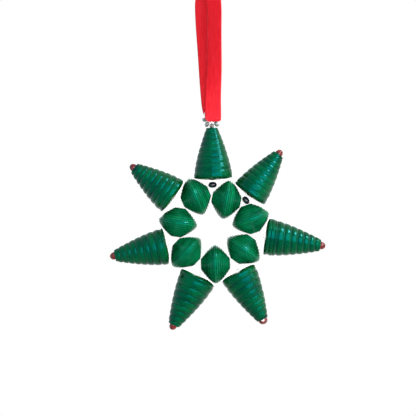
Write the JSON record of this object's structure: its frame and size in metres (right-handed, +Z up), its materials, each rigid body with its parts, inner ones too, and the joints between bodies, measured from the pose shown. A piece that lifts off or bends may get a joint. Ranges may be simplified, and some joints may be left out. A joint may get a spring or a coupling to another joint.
{
  "type": "paper bead star ornament",
  "caption": "Hanging star of rolled green paper beads: a ring of two-ended beads with a ridged cone at each point, glass seed beads and a red satin ribbon loop.",
  "frame": {"origin": "the hanging point, just under the top of the ribbon loop, where a twig or hook carries it", "axes": "+Z up, +Y from the front face to the back, +X to the right as seen from the front"},
  "size_m": [0.0949, 0.0174, 0.1684],
  "materials": {
    "cone_paper": "rolled paper under clear gloss varnish",
    "ring_paper": "rolled paper under clear gloss varnish",
    "red_glass": "transparent red glass, polished",
    "dark_glass": "opaque navy glass, polished",
    "silver_glass": "clear glass with a silvered bore",
    "clear_line": "clear drawn nylon",
    "red_satin": "satin woven ribbon"
  },
  "bodies": {
    "root": {"cone_bead_top": "cone_paper", "cone_bead_upper_right": "cone_paper", "cone_bead_right": "cone_paper", "cone_bead_lower_right": "cone_paper", "cone_bead_lower_left": "cone_paper", "cone_bead_left": "cone_paper", "cone_bead_upper_left": "cone_paper", "ring_bead_top_right": "ring_paper", "ring_bead_right": "ring_paper", "ring_bead_lower_right": "ring_paper", "ring_bead_bottom": "ring_paper", "ring_bead_lower_left": "ring_paper", "ring_bead_left": "ring_paper", "ring_bead_top_left": "ring_paper", "tip_bead_upper_right": "red_glass", "tip_bead_right": "red_glass", "tip_bead_lower_right": "red_glass", "tip_bead_lower_left": "red_glass", "tip_bead_left": "red_glass", "tip_bead_upper_left": "red_glass", "joint_bead_top": "dark_glass", "joint_bead_upper_right": "dark_glass", "loop_bead_1": "silver_glass", "loop_bead_2": "silver_glass", "loop_bead_3": "silver_glass", "loop_bead_4": "silver_glass", "loop_bead_5": "silver_glass", "loop_bead_6": "silver_glass", "loop_bead_7": "silver_glass", "loop_bead_8": "silver_glass", "nylon_line": "clear_line", "ribbon": "red_satin"}
  },
  "joints": []
}
